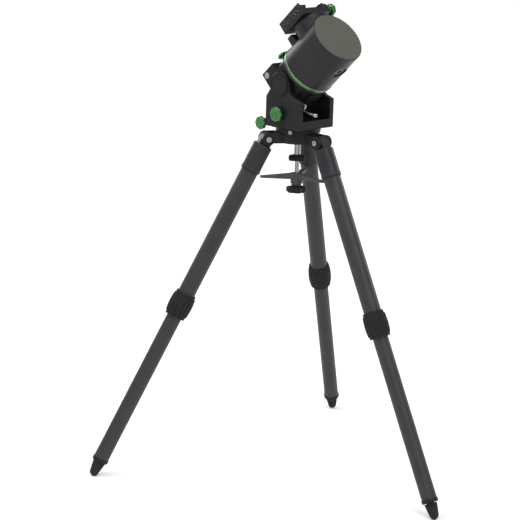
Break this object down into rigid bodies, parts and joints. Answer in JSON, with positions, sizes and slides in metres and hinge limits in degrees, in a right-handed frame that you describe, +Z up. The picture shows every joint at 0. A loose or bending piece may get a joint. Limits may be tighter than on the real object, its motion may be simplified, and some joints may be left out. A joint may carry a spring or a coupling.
{
  "type": "equatorial mount",
  "caption": "Strain-wave equatorial telescope mount with a tilting yoke head, dovetail saddle and folding carbon-fibre tripod.",
  "frame": {"origin": "on the floor, under the middle of the whole mount's bounding box", "axes": "+Z up, +Y the way the polar axis leans (north), +X east"},
  "size_m": [0.845, 0.7363, 1.1318],
  "materials": {
    "black_paint": "satin black powder coat",
    "olive_paint": "satin grey-green paint",
    "silver_steel": "machined",
    "green_anodised": "satin green anodised",
    "carbon": "woven carbon fibre under clear resin",
    "black_plastic": "fine moulded texture",
    "black_rubber": "matt rubber"
  },
  "bodies": {
    "tripod_top": {"tripod_hub": "black_paint", "azimuth_base": "black_paint", "tripod_fasteners": "silver_steel"},
    "leg_north": {"leg_north_knuckle": "black_paint", "leg_north_upper_tube": "carbon", "leg_north_lock_collet": "black_plastic"},
    "leg_north_lock": {"leg_north_twist_lock": "black_rubber"},
    "leg_north_lower": {"leg_north_lower_tube": "carbon", "leg_north_ferrule": "black_paint", "leg_north_foot": "black_rubber"},
    "leg_east": {"leg_east_knuckle": "black_paint", "leg_east_upper_tube": "carbon", "leg_east_lock_collet": "black_plastic"},
    "leg_east_lock": {"leg_east_twist_lock": "black_rubber"},
    "leg_east_lower": {"leg_east_lower_tube": "carbon", "leg_east_ferrule": "black_paint", "leg_east_foot": "black_rubber"},
    "leg_west": {"leg_west_knuckle": "black_paint", "leg_west_upper_tube": "carbon", "leg_west_lock_collet": "black_plastic"},
    "leg_west_lock": {"leg_west_twist_lock": "black_rubber"},
    "leg_west_lower": {"leg_west_lower_tube": "carbon", "leg_west_ferrule": "black_paint", "leg_west_foot": "black_rubber"},
    "centre_bolt": {"centre_bolt": "silver_steel"},
    "wing_knob": {"wing_knob": "black_plastic"},
    "leg_spreader": {"leg_spreader": "black_paint"},
    "spreader_washer": {"spreader_washer": "silver_steel"},
    "spreader_knob": {"spreader_knob": "black_plastic"},
    "yoke": {"yoke": "black_paint", "pivot_covers": "black_plastic", "lock_stud": "silver_steel"},
    "azimuth_screw_east": {"azimuth_screw_east": "silver_steel"},
    "azimuth_knob_east": {"azimuth_knob_east": "green_anodised"},
    "azimuth_screw_west": {"azimuth_screw_west": "silver_steel"},
    "azimuth_knob_west": {"azimuth_knob_west": "green_anodised"},
    "carriage": {"carriage": "black_paint", "trunnions": "silver_steel", "polar_ring": "green_anodised", "cross_pin": "silver_steel", "sector_gear": "silver_steel", "clamp_stud": "silver_steel", "polar_drive": "silver_steel", "polar_motor": "black_plastic"},
    "altitude_shaft": {"altitude_shaft": "silver_steel", "altitude_knob": "green_anodised"},
    "lock_lever": {"lock_lever": "silver_steel"},
    "clamp_knob": {"clamp_knob": "green_anodised"},
    "polar_head": {"head_shell": "black_paint", "end_cap": "olive_paint", "counterweight_insert": "silver_steel", "dec_drive": "silver_steel", "dec_motor": "black_plastic"},
    "saddle": {"saddle": "black_paint", "saddle_rib": "black_paint", "port_panel": "black_paint", "panel_sockets": "black_plastic"},
    "saddle_jaw": {"saddle_jaw": "black_paint"},
    "saddle_knob_north": {"saddle_knob_north": "green_anodised"},
    "saddle_knob_south": {"saddle_knob_south": "green_anodised"}
  },
  "joints": [
    {"name": "leg_fold_north", "type": "hinge", "parent": "tripod_top", "child": "leg_north", "pos_m": [0, -0.044, 0.81152], "axis": [-1, 0, 0], "range_deg": [0, 26.5]},
    {"name": "leg_extend_north", "type": "slide", "parent": "leg_north", "child": "leg_north_lower", "axis": [0, 0.4462, -0.8949], "range_m": [-0.25, 0.015]},
    {"name": "leg_lock_north", "type": "hinge", "parent": "leg_north", "child": "leg_north_lock", "pos_m": [0, 0.15322, 0.41596], "axis": [0, 0.4462, -0.8949], "range_deg": [0, 90]},
    {"name": "leg_fold_east", "type": "hinge", "parent": "tripod_top", "child": "leg_east", "pos_m": [0.06582, -0.158, 0.81152], "axis": [0.5, 0.866, 0], "range_deg": [0, 26.5]},
    {"name": "leg_extend_east", "type": "slide", "parent": "leg_east", "child": "leg_east_lower", "axis": [0.3864, -0.2231, -0.8949], "range_m": [-0.25, 0.015]},
    {"name": "leg_lock_east", "type": "hinge", "parent": "leg_east", "child": "leg_east_lock", "pos_m": [0.23661, -0.25661, 0.41596], "axis": [0.3864, -0.2231, -0.8949], "range_deg": [0, 90]},
    {"name": "leg_fold_west", "type": "hinge", "parent": "tripod_top", "child": "leg_west", "pos_m": [-0.06582, -0.158, 0.81152], "axis": [0.5, -0.866, 0], "range_deg": [0, 26.5]},
    {"name": "leg_extend_west", "type": "slide", "parent": "leg_west", "child": "leg_west_lower", "axis": [-0.3864, -0.2231, -0.8949], "range_m": [-0.25, 0.015]},
    {"name": "leg_lock_west", "type": "hinge", "parent": "leg_west", "child": "leg_west_lock", "pos_m": [-0.23661, -0.25661, 0.41596], "axis": [-0.3864, -0.2231, -0.8949], "range_deg": [0, 90]},
    {"name": "mount_bolt_travel", "type": "slide", "parent": "tripod_top", "child": "centre_bolt", "axis": [0, 0, -1], "range_m": [0, 0.008]},
    {"name": "mount_bolt_turn", "type": "hinge", "parent": "centre_bolt", "child": "wing_knob", "pos_m": [0, -0.12, 0.7645], "axis": [0, 0, -1], "range_deg": [0, 1920]},
    {"name": "spreader_turn", "type": "hinge", "parent": "centre_bolt", "child": "leg_spreader", "pos_m": [0, -0.12, 0.72], "axis": [0, 0, 1], "range_deg": [0, 88]},
    {"name": "spreader_nut_travel", "type": "slide", "parent": "centre_bolt", "child": "spreader_washer", "axis": [0, 0, -1], "range_m": [0, 0.006]},
    {"name": "spreader_nut_turn", "type": "hinge", "parent": "spreader_washer", "child": "spreader_knob", "pos_m": [0, -0.12, 0.69], "axis": [0, 0, -1], "range_deg": [0, 1440]},
    {"name": "azimuth", "type": "hinge", "parent": "tripod_top", "child": "yoke", "pos_m": [0, -0.12, 0.84022], "axis": [0, 0, 1], "range_deg": [-7.5, 7.5]},
    {"name": "azimuth_screw_east_travel", "type": "slide", "parent": "yoke", "child": "azimuth_screw_east", "axis": [1, 0, 0], "range_m": [-0.0092, 0.0092]},
    {"name": "azimuth_screw_east_turn", "type": "hinge", "parent": "azimuth_screw_east", "child": "azimuth_knob_east", "pos_m": [0.05, -0.1893, 0.84222], "axis": [1, 0, 0], "range_deg": [-2190, 2190]},
    {"name": "azimuth_screw_west_travel", "type": "slide", "parent": "yoke", "child": "azimuth_screw_west", "axis": [1, 0, 0], "range_m": [-0.0092, 0.0092]},
    {"name": "azimuth_screw_west_turn", "type": "hinge", "parent": "azimuth_screw_west", "child": "azimuth_knob_west", "pos_m": [-0.05, -0.1893, 0.84222], "axis": [1, 0, 0], "range_deg": [-2190, 2190]},
    {"name": "altitude", "type": "hinge", "parent": "yoke", "child": "carriage", "pos_m": [0, -0.1293, 0.94022], "axis": [1, 0, 0], "range_deg": [-21.8, 30.2]},
    {"name": "altitude_knob_turn", "type": "hinge", "parent": "yoke", "child": "altitude_shaft", "pos_m": [0, -0.1273, 0.87222], "axis": [1, 0, 0], "range_deg": [-176, 127]},
    {"name": "altitude_lock", "type": "hinge", "parent": "yoke", "child": "lock_lever", "pos_m": [0.0376, -0.0713, 0.89522], "axis": [1, 0, 0], "range_deg": [-30, 25]},
    {"name": "clamp_knob_turn", "type": "hinge", "parent": "carriage", "child": "clamp_knob", "pos_m": [-0.001, -0.17414, 0.9942], "axis": [0, -0.6921, 0.7218], "range_deg": [-180, 180]},
    {"name": "right_ascension", "type": "hinge", "parent": "carriage", "child": "polar_head", "pos_m": [0, -0.08888, 0.97898], "axis": [0, 0.7218, 0.6921], "continuous": true},
    {"name": "declination", "type": "hinge", "parent": "polar_head", "child": "saddle", "pos_m": [0, -0.09268, 1.08479], "axis": [0, -0.6921, 0.7218], "continuous": true},
    {"name": "jaw_travel", "type": "slide", "parent": "saddle", "child": "saddle_jaw", "axis": [-1, 0, 0], "range_m": [0, 0.008]},
    {"name": "saddle_knob_north_turn", "type": "hinge", "parent": "saddle_jaw", "child": "saddle_knob_north", "pos_m": [-0.056, -0.08754, 1.1105], "axis": [-1, 0, 0], "range_deg": [0, 1920]},
    {"name": "saddle_knob_south_turn", "type": "hinge", "parent": "saddle_jaw", "child": "saddle_knob_south", "pos_m": [-0.056, -0.12868, 1.07105], "axis": [-1, 0, 0], "range_deg": [0, 1920]}
  ],
  "couplings": [
    {"joint": "leg_fold_east", "follows": "leg_fold_north", "ratio": 1},
    {"joint": "leg_fold_west", "follows": "leg_fold_north", "ratio": 1},
    {"joint": "mount_bolt_turn", "follows": "mount_bolt_travel", "rad_per_m": 4188.8},
    {"joint": "spreader_turn", "follows": "leg_fold_north", "ratio": 3.3},
    {"joint": "spreader_nut_turn", "follows": "spreader_nut_travel", "rad_per_m": 4188.8},
    {"joint": "azimuth_screw_east_travel", "follows": "azimuth", "m_per_rad": -0.0693},
    {"joint": "azimuth_screw_east_turn", "follows": "azimuth", "ratio": -290.28},
    {"joint": "azimuth_screw_west_travel", "follows": "azimuth", "m_per_rad": -0.0693},
    {"joint": "azimuth_screw_west_turn", "follows": "azimuth", "ratio": -290.28},
    {"joint": "altitude_knob_turn", "follows": "altitude", "ratio": -5.8},
    {"joint": "saddle_knob_north_turn", "follows": "jaw_travel", "rad_per_m": 4188.8},
    {"joint": "saddle_knob_south_turn", "follows": "jaw_travel", "rad_per_m": 4188.8}
  ]
}
